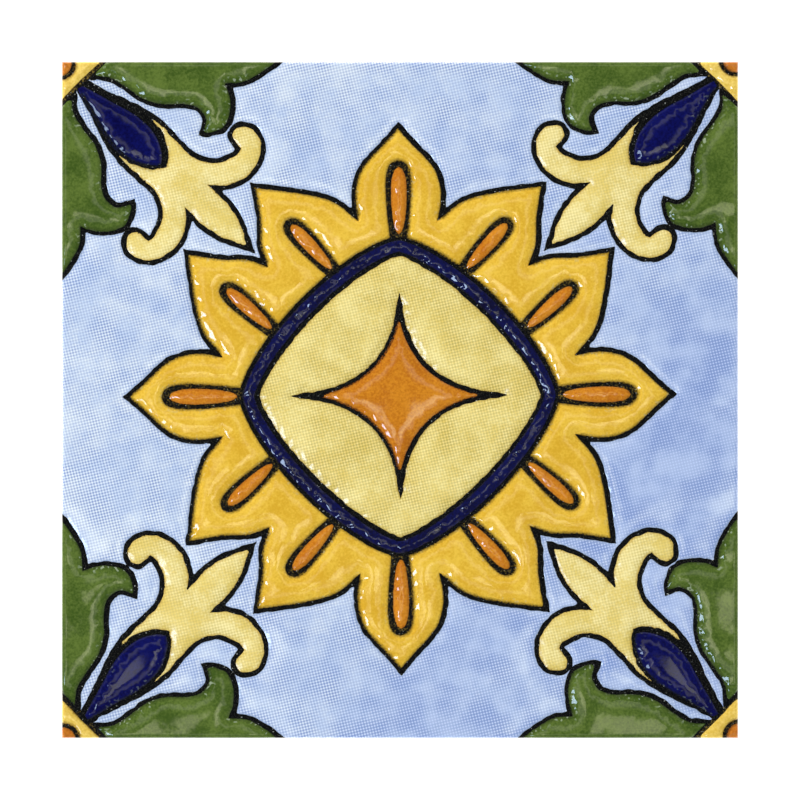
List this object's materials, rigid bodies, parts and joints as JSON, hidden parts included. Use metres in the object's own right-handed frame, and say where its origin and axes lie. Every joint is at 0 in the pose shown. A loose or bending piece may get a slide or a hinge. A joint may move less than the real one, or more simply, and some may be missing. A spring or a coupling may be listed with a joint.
{
  "type": "star pattern tile",
  "caption": "Square glazed wall tile with a raised star flower, a rounded diamond and leafy corner motifs in coloured glazes on pale blue.",
  "frame": {"origin": "middle of the back, on the plane of its ribs", "axes": "+Z out of the glazed face, +Y to the top of the pattern, +X to its right side"},
  "size_m": [0.15, 0.15, 0.0088],
  "materials": {
    "blue_ground": "glossy pale blue printed glaze with a fine screen mesh",
    "cream_ground": "glossy cream printed glaze with a fine screen mesh",
    "yellow_glaze": "thick glossy amber yellow glaze",
    "orange_glaze": "thick glossy orange glaze",
    "cream_glaze": "thick glossy cream glaze",
    "navy_glaze": "thick glossy cobalt blue glaze",
    "green_glaze": "thick glossy leaf green glaze",
    "black_line": "matt grainy black contour line",
    "biscuit": "unglazed pale fired clay"
  },
  "bodies": {
    "root": {"tile": "blue_ground"}
  },
  "joints": []
}
